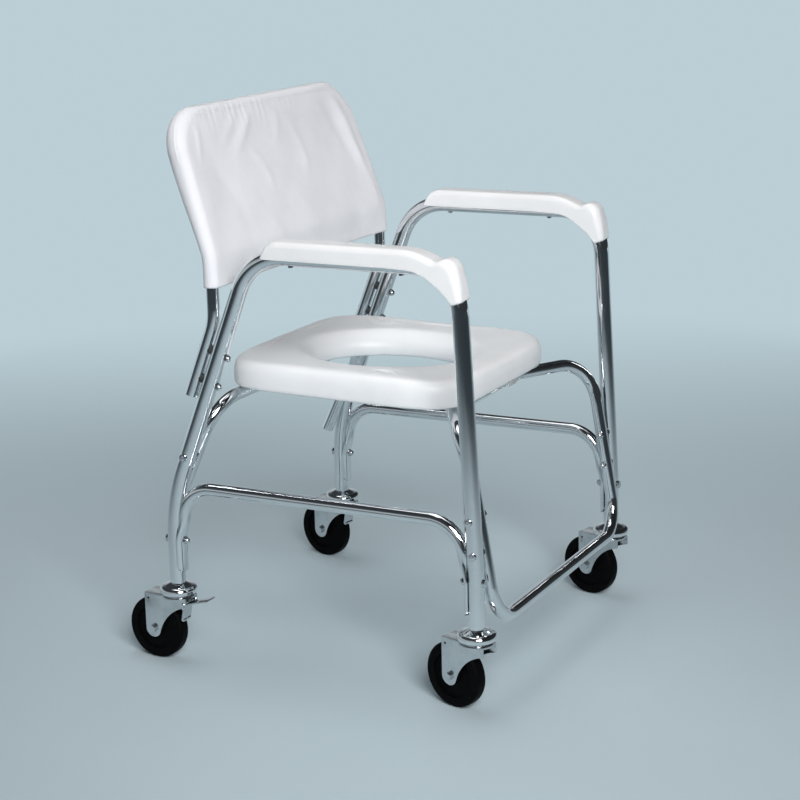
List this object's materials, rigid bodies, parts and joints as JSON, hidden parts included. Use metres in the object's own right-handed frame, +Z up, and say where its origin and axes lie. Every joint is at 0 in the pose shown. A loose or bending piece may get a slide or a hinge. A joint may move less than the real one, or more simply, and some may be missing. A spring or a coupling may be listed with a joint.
{
  "type": "shower commode chair",
  "caption": "Wheeled shower commode chair of bent chromed tube with white arm pads, cloth backrest, padded seat with an oval opening, and swivel casters with rear brakes.",
  "frame": {"origin": "on the floor, under the middle of the chair's box", "axes": "+Z up, front towards -Y, the sitter's right at -X"},
  "size_m": [0.6034, 0.6433, 0.8708],
  "materials": {
    "chrome_tube": "polished chrome plate on steel tube",
    "zinc_steel": "bright zinc plate",
    "wheel_rubber": "satin black",
    "pad_plastic": "smooth white moulding",
    "clip_plastic": "matt white moulding",
    "spacer_plastic": "matt black moulding",
    "seat_skin": "satin white self-skinned foam",
    "sleeve_cloth": "white coated cloth"
  },
  "bodies": {
    "chair": {"side_frame_right": "chrome_tube", "side_frame_left": "chrome_tube", "stretcher_right": "chrome_tube", "stretcher_left": "chrome_tube", "front_seat_support": "chrome_tube", "front_foot_bar": "chrome_tube", "rear_seat_support": "chrome_tube", "backrest_frame": "chrome_tube", "backrest_sleeve": "sleeve_cloth", "seat_cushion": "seat_skin", "seat_clips_front": "clip_plastic", "seat_clips_rear": "clip_plastic", "arm_pad_right": "pad_plastic", "arm_pad_left": "pad_plastic", "pad_screws_right": "zinc_steel", "pad_screws_left": "zinc_steel", "backrest_bolts_right": "zinc_steel", "backrest_bolts_left": "zinc_steel", "backrest_spacers_right": "spacer_plastic", "backrest_spacers_left": "spacer_plastic", "front_bolts_right": "zinc_steel", "front_bolts_left": "zinc_steel", "front_spacers_right": "spacer_plastic", "front_spacers_left": "spacer_plastic", "rear_bolt_right": "zinc_steel", "rear_bolt_left": "zinc_steel", "rear_spacer_right": "spacer_plastic", "rear_spacer_left": "spacer_plastic", "stretcher_bolts_right": "zinc_steel", "stretcher_bolts_left": "zinc_steel", "caster_mount_front_right": "chrome_tube", "caster_mount_front_left": "chrome_tube", "caster_mount_rear_right": "chrome_tube", "caster_mount_rear_left": "chrome_tube"},
    "swivel_front_right": {"fork_front_right": "zinc_steel", "axle_front_right": "zinc_steel"},
    "roller_front_right": {"wheel_front_right": "wheel_rubber"},
    "swivel_front_left": {"fork_front_left": "zinc_steel", "axle_front_left": "zinc_steel"},
    "roller_front_left": {"wheel_front_left": "wheel_rubber"},
    "swivel_rear_right": {"fork_rear_right": "zinc_steel", "axle_rear_right": "zinc_steel", "brake_pin_right": "zinc_steel"},
    "roller_rear_right": {"wheel_rear_right": "wheel_rubber"},
    "brake_right": {"brake_pedal_right": "zinc_steel"},
    "swivel_rear_left": {"fork_rear_left": "zinc_steel", "axle_rear_left": "zinc_steel", "brake_pin_left": "zinc_steel"},
    "roller_rear_left": {"wheel_rear_left": "wheel_rubber"},
    "brake_left": {"brake_pedal_left": "zinc_steel"}
  },
  "joints": [
    {"name": "swivel_front_right", "type": "hinge", "parent": "chair", "child": "swivel_front_right", "pos_m": [-0.27, -0.2914, 0.11], "axis": [0, 0, 1], "continuous": true},
    {"name": "roll_front_right", "type": "hinge", "parent": "swivel_front_right", "child": "roller_front_right", "pos_m": [-0.25842, -0.25103, 0.0508], "axis": [0.9613, -0.2756, 0], "continuous": true},
    {"name": "swivel_front_left", "type": "hinge", "parent": "chair", "child": "swivel_front_left", "pos_m": [0.27, -0.2914, 0.11], "axis": [0, 0, 1], "continuous": true},
    {"name": "roll_front_left", "type": "hinge", "parent": "swivel_front_left", "child": "roller_front_left", "pos_m": [0.28087, -0.25083, 0.0508], "axis": [0.9659, -0.2588, 0], "continuous": true},
    {"name": "swivel_rear_right", "type": "hinge", "parent": "chair", "child": "swivel_rear_right", "pos_m": [-0.27, 0.2286, 0.11], "axis": [0, 0, 1], "continuous": true},
    {"name": "roll_rear_right", "type": "hinge", "parent": "swivel_rear_right", "child": "roller_rear_right", "pos_m": [-0.2678, 0.27054, 0.0508], "axis": [0.9986, -0.0523, 0], "continuous": true},
    {"name": "brake_right", "type": "hinge", "parent": "swivel_rear_right", "child": "brake_right", "pos_m": [-0.27089, 0.21162, 0.098], "axis": [0.9986, -0.0523, 0], "range_deg": [0, 8.5]},
    {"name": "swivel_rear_left", "type": "hinge", "parent": "chair", "child": "swivel_rear_left", "pos_m": [0.27, 0.2286, 0.11], "axis": [0, 0, 1], "continuous": true},
    {"name": "roll_rear_left", "type": "hinge", "parent": "swivel_rear_left", "child": "roller_rear_left", "pos_m": [0.27945, 0.26952, 0.0508], "axis": [0.9744, -0.225, 0], "continuous": true},
    {"name": "brake_left", "type": "hinge", "parent": "swivel_rear_left", "child": "brake_left", "pos_m": [0.26618, 0.21204, 0.098], "axis": [0.9744, -0.225, 0], "range_deg": [0, 8.5]}
  ]
}
